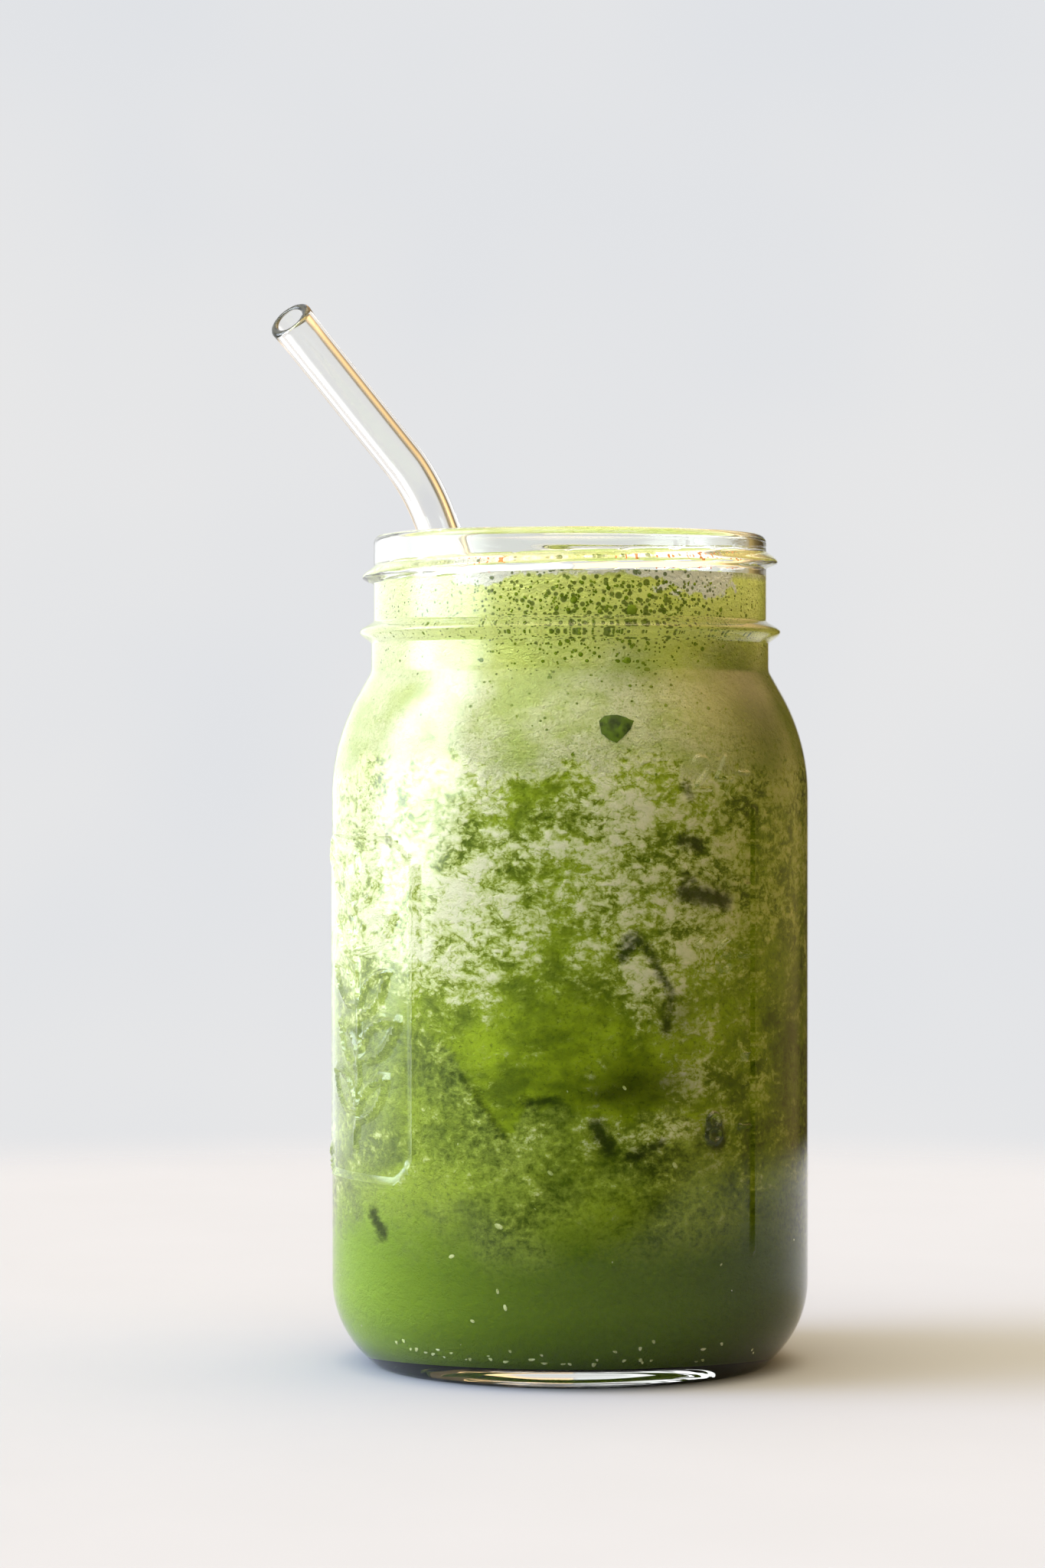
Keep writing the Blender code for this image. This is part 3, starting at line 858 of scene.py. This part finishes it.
def dress_layer(piece, bearing, radius, height):
    """Gives a layer what juice_paint() reads, worked out from bearing and height. A slow
    noise makes the heights uneven."""
    points = round_axis(bearing, radius, height)
    slow = noise(points, 34.0, 3, 3)
    level = height + slow * 2.5
    back = smooth(70, 110, np.abs(bearing)) * slow * 0.25
    base = np.interp(level, *zip(*CURD_BY_HEIGHT))
    curd = patches(base, bearing + slow * 3, level, CURD_PATCHES)
    edge = np.interp(bearing, *zip(*PULP_EDGE)) + noise(points, 5.0, 8, 3) * 0.7
    pulp = smooth(0.4, -0.4, height - edge) * (0.75 + 0.25 * slow) * smooth(*PULP_FADE, level)
    pulp = np.maximum(pulp, 0.35 * smooth(62, 80, level))
    # Painted shade on the side away from the window, fading out in the neck
    shade = smooth(18, 55, bearing) * smooth(175, 130, bearing) * smooth(152, 140, height)
    at_wall = smooth(0.92, 0.985, radius / MOUTH_RADIUS)
    neck = smooth(*NECK_FADE, height + slow * 2) * at_wall * smooth(*NECK_END, height)
    dots = smooth(118, 136, height) * 0.45 + smooth(143, 149, height)
    middle = 0.35 + 0.65 * hump(bearing, *DOTS)
    # Of these, shade and top paint shade, light dims patches (painted shade on the far right), and
    # glow marks where window light is painted
    values = {
        "curd": np.clip(curd + back, 0, 1),
        "pulp": np.clip(pulp, 0, 1),
        "light": 1 - np.clip(patches(0, bearing, height, LIGHT_PATCHES), 0, 0.9),
        "shapes": shape_distance(bearing, height),
        "foam": smooth(*FOAM_FADE, level),
        "glow": hump(bearing, *GLOW),
        "shade": shade,
        "clear": smooth(*CLEAR_FADE, level),
        "neck": neck,
        "top": smooth(*TOP_FADE, height) * (1 - at_wall),
        "white": np.clip(patches(0, bearing, height, WHITE_PATCHES), 0, 1) * at_wall,
        "dots": dots * middle * at_wall,
    }
    for name, value in values.items():
        add_attribute(piece, name, value)


def make_layer(name, low_face, high_face, rows, face_rows, juice):
    """A layer of the drink between two faces, with its rows up the wall and in each face.

    Its name is that of the CAD node, too."""
    bearing, radius, height = layer_grid(low_face, high_face, rows, face_rows)
    piece = closed_grid(name, round_axis(bearing, radius, height), juice, smooth_angle=50)
    dress_layer(piece, bearing, radius, height)
    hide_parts(name)
    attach(piece, "root")


def wall_outward(bearing):
    """The direction out of the wall at a bearing."""
    return round_axis(bearing, 1.0, 0.0) - AXIS


DOME_SIDES = 8
DOME_ANGLES = (-0.9, -0.35, 0.25, 0.8)


def domes(name, centres, outs, sizes, paint, flatness, stretch=1.0):
    """Many small lentils in one mesh, each round its outward direction: rings at angles a
    have radius s cos a and stand s times the flatness times sin a out. They are stretched
    one way across, each at its own random angle."""
    count = len(centres)
    draw = np.random.default_rng(count)
    side = unit(np.cross(outs, np.array([0.02, 0.01, 1.0]) + outs[:, ::-1] * 0.1))
    other = np.cross(outs, side)
    spin = draw.uniform(0, np.pi, count)[:, None]
    wide = side * np.cos(spin) + other * np.sin(spin)
    narrow = other * np.cos(spin) - side * np.sin(spin)
    turn = np.linspace(0, 2 * np.pi, DOME_SIDES, endpoint=False)[None, :, None]
    around = wide[:, None] * np.cos(turn) * stretch + narrow[:, None] * np.sin(turn)
    sizes = sizes[:, None]
    rings = []
    for angle in DOME_ANGLES:
        ring = around * math.cos(angle) + outs[:, None] * math.sin(angle) * flatness
        rings.append(centres[:, None] + ring * sizes[:, None])
    for way in (-1, 1):
        rings.append((centres + outs * way * flatness * sizes)[:, None])
    points = np.concatenate(rings, 1)
    starts = np.arange(count)[:, None, None] * points.shape[1]
    size = len(DOME_ANGLES), DOME_SIDES
    faces = []
    for group in (grid_faces(*size), cap_faces(*size)):
        faces += (group + starts).reshape(-1, group.shape[1]).tolist()
    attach(make_mesh(name, points.reshape(-1, 3), faces, paint, 180), "root")


# How many bubbles are drawn against the glass, between which heights, and on the top
BUBBLE_COUNT = 2300
BUBBLE_HEIGHTS = (120, 158.5)
TOP_BUBBLE_COUNT = 900
# Bubbles at named places: (bearing, height, radius in mm)
BIG_BUBBLES = [
    (18, 152.7, 1.15), (0.5, 154.6, 0.75), (16.4, 142.7, 0.8), (22.2, 140.5, 0.72),
    (2.5, 143.9, 0.5), (8, 143.5, 0.34), (13.6, 142.6, 0.42), (19.6, 142.6, 0.36),
    (21.3, 142.2, 0.4), (24.5, 139.6, 0.34), (-5.5, 140, 0.36), (5.3, 139.3, 0.34),
    (8.2, 138.1, 0.28), (16.1, 137.2, 0.38), (-1.2, 135.7, 0.28), (-11.7, 135.7, 0.32),
    (-23.6, 138.1, 0.28), (-8.1, 130.5, 0.28), (0, 124.1, 0.36), (20.4, 120.3, 0.3),
    (18.3, 103.7, 0.45), (30.2, 151.2, 0.48), (-10.5, 147.6, 0.3), (-1.2, 152.7, 0.42),
    (-13.2, 153.4, 0.36), (2.1, 148.5, 0.42), (-24.3, 155, 0.25), (10.5, 153.4, 0.36),
    (23.5, 153.8, 0.32), (7, 156.2, 0.32),
]
# The leaf's outline, and places of seeds and flecks on the wall: (bearing, height)
LEAF = [
    (6.6, 130.5), (8.2, 131.5), (11.4, 131.7), (13.7, 131.2), (15.7, 130.5), (14.7, 129),
    (12.8, 127.6), (10.9, 126.3), (8.9, 127), (7.2, 128.1),
]
SEEDS = [
    (-50.7, 8.4), (-47.4, 8.9), (-28, 6.6), (-17.8, 6.4), (-10.6, 6.9), (-7.5, 6.3),
    (-24.6, 13.7), (-18.1, 19.6), (20.3, 10), (-17.8, 32.3), (-5.3, 42.9), (25.2, 44),
    (12.4, 59.4), (-30.1, 26), (-16.2, 16.5), (-41.4, 7.1), (-36.7, 7.8), (-2.4, 6.2),
    (5.8, 6.2), (-44, 7.6), (-39, 7),
]
ORANGE_FLECKS = [
    (-33.1, 160.8), (-29.8, 160.9), (-20.8, 160.6), (16.6, 161.4), (18.5, 161.7), (27.6, 161.2),
    (31.7, 161.1), (36, 161.6), (40.6, 161.4), (43.3, 162), (48.1, 161.7), (54.5, 162),
    (57.3, 162.4),
]


def on_wall(places, out):
    """Points a little out of the drink's wall and their outward directions, from places."""
    bearing, height = places.T
    return round_axis(bearing, wall_radius(height) + out, height), wall_outward(bearing)


def make_bubbles():
    """Dark bubbles where the froth meets the glass: thick near the top, sparse below."""
    draw = np.random.default_rng(11)
    count = BUBBLE_COUNT
    low, high = BUBBLE_HEIGHTS
    height = low + (high - low) * draw.uniform(0, 1, count) ** 0.42
    bearing = draw.normal(8, 26, count)
    bearing[::2] = draw.uniform(-180, 180, len(bearing[::2]))
    keep = draw.uniform(0, 1, count) < 0.25 + 0.75 * smooth(138, 150, height)
    bearing, height = bearing[keep], height[keep]
    sizes = np.clip(draw.lognormal(-1.75, 0.42, len(height)), 0.09, 0.50)
    named = np.array(BIG_BUBBLES)
    places = np.concatenate([np.stack([bearing, height], 1), named[:, :2]])
    centres, outs = on_wall(places, 0.04)
    paint = plain_food("bubble", (0.10, 0.17, 0.004), (0.20, 0.29, 0.02), 1.5, 0.5)
    domes("bubbles", centres, outs, np.concatenate([sizes, named[:, 2]]), paint, 0.3)


def make_top_bubbles():
    """Pale bubbles over the froth's top."""
    draw = np.random.default_rng(12)
    count = TOP_BUBBLE_COUNT
    far = np.sqrt(draw.uniform(0, 0.9, count)) * (MOUTH_RADIUS - 0.5)
    places = round_axis(draw.uniform(-180, 180, count), far, 0.0)
    share = (JUICE_LEVEL - FOOT_POINT[2]) / (BEND_POINT[2] - FOOT_POINT[2])
    straw = FOOT_POINT + (BEND_POINT - FOOT_POINT) * share + AXIS
    places = places[np.hypot(*(places - straw)[:, :2].T) > STRAW_RADIUS + 1.4]
    places[:, 2] = froth_top(places - AXIS)
    sizes = np.clip(draw.lognormal(-0.9, 0.55, len(places)), 0.15, 1.5)
    outs = np.tile([0.0, 0.0, 1.0], (len(places), 1))
    paint = plain_food("top_bubble", (0.20, 0.27, 0.06), (0.36, 0.44, 0.16), 2.0, 0.4)
    domes("top_bubbles", places, outs, sizes, paint, 0.5)


def make_seeds():
    """Pale bits of seed that rest low on the wall, some named and some scattered round."""
    draw = np.random.default_rng(13)
    rest = np.stack([draw.uniform(-180, 180, 70), 5.9 + draw.exponential(1.0, 70)], 1)
    high = np.stack([draw.uniform(-180, 180, 40), draw.uniform(9, 70, 40)], 1)
    places = np.concatenate([SEEDS, rest, high])
    centres, outs = on_wall(places, 0.05)
    sizes = draw.uniform(0.18, 0.40, len(places))
    sizes[:20] *= 1.35
    sizes[-40:] *= 0.5
    paint = plain_food("seed", (0.34, 0.42, 0.10), (0.60, 0.66, 0.30), 0.8, 0.5)
    domes("seeds", centres, outs, sizes, paint, 0.3, stretch=1.8)


def make_orange_flecks():
    """Tiny bits of carrot, stuck on the glass just above the froth."""
    draw = np.random.default_rng(14)
    places = np.repeat(ORANGE_FLECKS, 3, 0)
    places = places + draw.normal(0, 1, places.shape) * [1.6, 0.25]
    bearing, height = places[:, 0], np.maximum(places[:, 1], JUICE_LEVEL + 0.9)
    centres = round_axis(bearing, MOUTH_RADIUS + 0.02, height)
    paint = plain_food("carrot", (0.75, 0.16, 0.01), (0.95, 0.30, 0.03), 0.5, 0.4)
    sizes = draw.uniform(0.10, 0.24, len(places))
    domes("carrot_flecks", centres, wall_outward(bearing), sizes, paint, 0.5, stretch=1.8)


def make_leaf_bit():
    """A torn bit of leaf against the glass: a closed lens over its outline, which is drawn
    in bearings and heights. Rings shrink to the middle and lift by the sine of their share."""
    outline = np.array(LEAF)
    fine = np.linspace(0, len(outline), 60, endpoint=False)
    corners = np.concatenate([outline, outline[:1]])
    order = np.arange(len(corners))
    edge = np.stack([np.interp(fine, order, column) for column in corners.T], 1)
    middle = edge.mean(0)
    draw = np.random.default_rng(15)
    edge = middle + (edge - middle) * (1 + draw.normal(0, 0.012, (len(edge), 1)))
    rows = []
    for angle in np.radians([-70, -40, 0, 40, 70]):
        spread = middle + (edge - middle) * math.cos(angle)
        radius = wall_radius(spread[:, 1]) + 0.18 + 0.30 * math.sin(angle)
        rows.append(round_axis(spread[:, 0], radius, spread[:, 1]))
    paint = plain_food("leaf", (0.018, 0.036, 0.001), (0.085, 0.150, 0.006), 1.6, 0.5)
    leaf_bit = closed_grid("leaf_bit", np.array(rows)[:, ::-1], paint, smooth_angle=60)
    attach(leaf_bit, "root")


# The straw

def tube_route(count):
    """Points and headings of the straw's middle: straight, round the bend, straight."""
    down, out = unit(FOOT_POINT - BEND_POINT), unit(TIP_POINT - BEND_POINT)
    half = math.acos(-down @ out) / 2
    centre = BEND_POINT + unit(down + out) * BEND_RADIUS / math.cos(half)
    start = BEND_POINT + down * BEND_RADIUS * math.tan(half)
    turn = np.linspace(0, 2 * half, count)[:, None]
    bend = centre + (start - centre) * np.cos(turn) + -down * BEND_RADIUS * np.sin(turn)
    heading = -down * np.cos(turn) + (centre - start) / BEND_RADIUS * np.sin(turn)
    low = np.linspace(FOOT_POINT - down * STRAW_LIP, start, 12)[:-1]
    high = np.linspace(bend[-1], TIP_POINT - out * STRAW_LIP, 14)[1:]
    points = np.concatenate([low, bend, high])
    headings = np.concatenate([low * 0 - down, heading, high * 0 + out])
    return points, headings, unit(np.cross(down, out))


def make_straw():
    """A bent tube with fire-polished ends: the outer wall up, half a circle over the tip,
    the bore down, and half a circle round the foot. The tip flares a little."""
    points, headings, side = tube_route(22)
    count = len(points)
    flare = STRAW_FLARE * np.exp(-np.linalg.norm(points - points[-1], axis=1) / FLARE_REACH)
    angles = np.radians([30, 60, 90, 120, 150])
    swing, lift = np.cos(angles), STRAW_LIP * np.sin(angles)
    middle = STRAW_BORE + STRAW_LIP
    order = np.r_[0:count, [-1] * 5, count - 1:-1:-1, [0] * 5]
    out = np.r_[flare * 0, lift, flare * 0, -lift]
    tip, foot = (STRAW_LIP + STRAW_FLARE) * swing, -STRAW_LIP * swing
    radius = np.r_[STRAW_RADIUS + flare, middle + tip, flare * 0 + STRAW_BORE, middle + foot]
    headings = headings[order]
    centres = points[order] + out[:, None] * headings + AXIS
    other = np.cross(side, headings)[:, None]
    turn = np.linspace(0, 2 * np.pi, STRAW_SIDES, endpoint=False)[::-1, None]
    ring = side * np.cos(turn) + other * np.sin(turn)
    grid = centres[:, None] + radius[:, None, None] * ring
    glass = clear_glass("straw_glass", STRAW_TINT, 0.0)
    straw = closed_grid("straw_glass", grid, glass, looped=True, smooth_angle=80)
    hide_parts("straw")
    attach(straw, "root")


# The set

def make_floor():
    """A pale round table top, which fades out far behind the jar and in front of it."""
    rings, sides = 24, 96
    far = np.linspace(0.02, 1, rings)[:, None] * TABLE_RADIUS
    turn = np.linspace(0, 2 * np.pi, sides, endpoint=False)[None, :]
    parts = [far * np.cos(turn), far * np.sin(turn), -TABLE_DROP]
    points = np.stack(np.broadcast_arrays(*parts), -1).reshape(-1, 3)
    faces = grid_faces(rings, sides)[:, ::-1].tolist() + [list(range(sides))]
    paint = Paint("floor_paint")
    x, y = paint.split(paint.place())[:2]
    reach = (x * x + y * y) ** 0.5
    mottle = paint.grain(paint.place(), 60.0)
    paint.set("Base Color", paint.mix(mottle, (0.232, 0.252, 0.262), (0.244, 0.264, 0.276)))
    paint.matt(0.8)
    paint.set("Alpha", (1 - reach.ramp(*TABLE_FADE)) * y.ramp(*TABLE_FRONT))
    make_mesh("floor", points, faces, paint.material)


# The room's light, by where it comes from
WINDOW_LIGHT = (13.6, 14.4, 19.4)
HIGH_WINDOW = (3.2, 3.2, 3.6)
DIM_ROOM = (0.11, 0.09, 0.05)
WARM_ROOM = (0.55, 0.40, 0.15)
BEHIND_RIGHT = (0.10, 0.07, 0.03)
LEFT_WALL = (1.5, 1.52, 1.55)
RIGHT_LIGHT = (3.0, 1.95, 1.0)
LEFT_CEILING = (3.9, 3.75, 3.3)
OVERHEAD = (7.0, 5.6, 4.0)
BACK_WALL = (0.78, 0.785, 0.79)
SEEN_WALL = ((0.80, 0.80, 0.805), (0.735, 0.755, 0.79))


def make_world():
    """A window on the left, a grey wall behind, a dim warm room on the right and in front.

    Bearings and rises come from the ray's direction, in degrees. The window leans: its near
    edge moves with the rise. The camera itself sees only the wall's pale grey all round."""
    world = bpy.data.worlds.new("room")
    world.use_nodes = True
    bpy.context.scene.world = world
    paint = Paint("room", world.node_tree)
    way = paint.node("ShaderNodeTexCoord", output="Generated")
    x, y, z = paint.split(way)
    bearing = x.math("ARCTAN2", y * -1.0) * (180 / math.pi)
    rise = z.math("ARCSINE") * (180 / math.pi)
    side = abs(bearing)
    slant = bearing - rise.math("MINIMUM", 0) * 10.0 + rise.math("MAXIMUM", 0) * 0.4
    window = bearing.ramp(-116, -88) * (1 - slant.ramp(-64, -40)) * rise.ramp(-6, 0.5)
    sky = paint.mix(rise.ramp(52, 62), WINDOW_LIGHT, HIGH_WINDOW)
    right = paint.mix(side.ramp(25, 60), DIM_ROOM, WARM_ROOM)
    right = paint.mix(side.ramp(135, 150), right, BEHIND_RIGHT)
    left = paint.mix(side.ramp(60, 120), DIM_ROOM, LEFT_WALL)
    room = paint.mix(x.ramp(-0.02, 0.02), left, right)
    room = paint.mix(rise.ramp(12, 40) * bearing.ramp(40, 80), room, RIGHT_LIGHT)
    above = rise.ramp(14, 50) ** 1.4 * (1 - bearing.ramp(-20, 60)) * bearing.ramp(-150, -110)
    room = paint.mix(above, room, LEFT_CEILING)
    room = paint.mix(rise.ramp(56, 72), room, OVERHEAD)
    wall = side.ramp(163, 171) * (1 - rise.ramp(20, 40))
    light = paint.mix(wall, room, BACK_WALL)
    light = paint.mix(window, light, sky)
    cloud = paint.grain(way, 0.22, detail=3.0)
    plain = paint.mix(cloud.ramp(0.35, 0.7), *SEEN_WALL)
    is_camera = paint.node("ShaderNodeLightPath", output="Is Camera Ray")
    background = world.node_tree.nodes["Background"]
    paint.plug(background.inputs["Color"], paint.mix(is_camera, light, plain))


def make_camera():
    """The photograph's view: level but for the pitch that puts the horizon on its row.

    The focal length in pixels is the lens times the long side's pixels over its width."""
    focal = LENS * max(FRAME_SIZE) / LONG_SIDE
    pitch = math.atan((FRAME_SIZE[1] / 2 - HORIZON_ROW) / focal)
    data = bpy.data.cameras.new("camera")
    data.lens = LENS
    data.sensor_width = LONG_SIDE
    data.clip_start = 0.01
    camera = bpy.data.objects.new("camera", data)
    camera.location = Vector((CAMERA_PLACE + AXIS) * MM)
    camera.rotation_euler = (math.pi / 2 - pitch, 0, 0)
    bpy.context.scene.collection.objects.link(camera)
    bpy.context.scene.camera = camera


def main():
    """Builds the view, the set, the jar and the straw, the drink, and the small bits."""
    make_camera()
    make_world()
    make_floor()
    make_jar()
    make_straw()
    juice = juice_paint()
    make_layer("settled_juice", jar_floor, settled_top, 50, (10, 8), juice)
    make_layer("pulpy_juice", settled_top, froth_base, 180, (8, 8), juice)
    make_layer("froth", froth_base, froth_top, 80, (8, 60), juice)
    make_bubbles()
    make_top_bubbles()
    make_leaf_bit()
    make_seeds()
    make_orange_flecks()
    bpy.context.scene.view_settings.view_transform = "Standard"


main()
